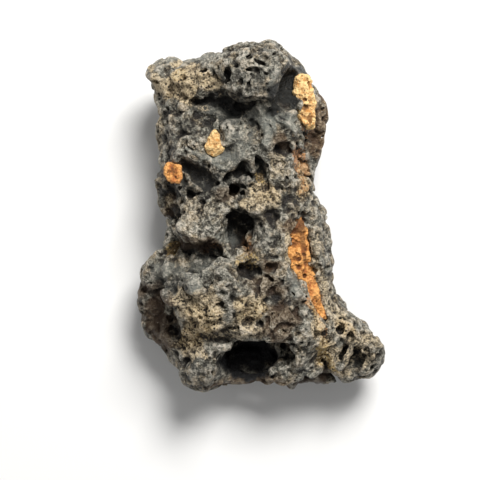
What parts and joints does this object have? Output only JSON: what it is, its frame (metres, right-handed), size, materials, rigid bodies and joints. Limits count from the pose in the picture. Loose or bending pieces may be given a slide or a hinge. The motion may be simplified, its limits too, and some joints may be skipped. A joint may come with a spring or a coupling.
{
  "type": "muong nong tektite",
  "caption": "Blocky piece of layered, bubbly impact glass with deep rounded pits and a dark cavity at its lower end, some pits filled with orange and cream clay.",
  "frame": {"origin": "middle of the underside of the bounding box, on the surface the stone lies on", "axes": "+X to the right and +Y up in the picture, along the stone's length, +Z out of the face that the picture shows, which is up when the stone lies on its back"},
  "size_m": [0.0342, 0.0474, 0.0207],
  "materials": {
    "tektite": "dark grey glass, pitted and matte with a few glossy chips",
    "clay_in_long_slot": "crumbly orange clay",
    "clay_on_shoulder": "crumbly cream clay",
    "clay_in_centre_pit": "crumbly cream clay",
    "clay_under_left_ledge": "crumbly orange clay",
    "clay_in_neck": "crumbly orange clay"
  },
  "bodies": {
    "root": {"tektite": "tektite", "clay_in_long_slot": "clay_in_long_slot", "clay_on_shoulder": "clay_on_shoulder", "clay_in_centre_pit": "clay_in_centre_pit", "clay_under_left_ledge": "clay_under_left_ledge", "clay_in_neck": "clay_in_neck"}
  },
  "joints": []
}
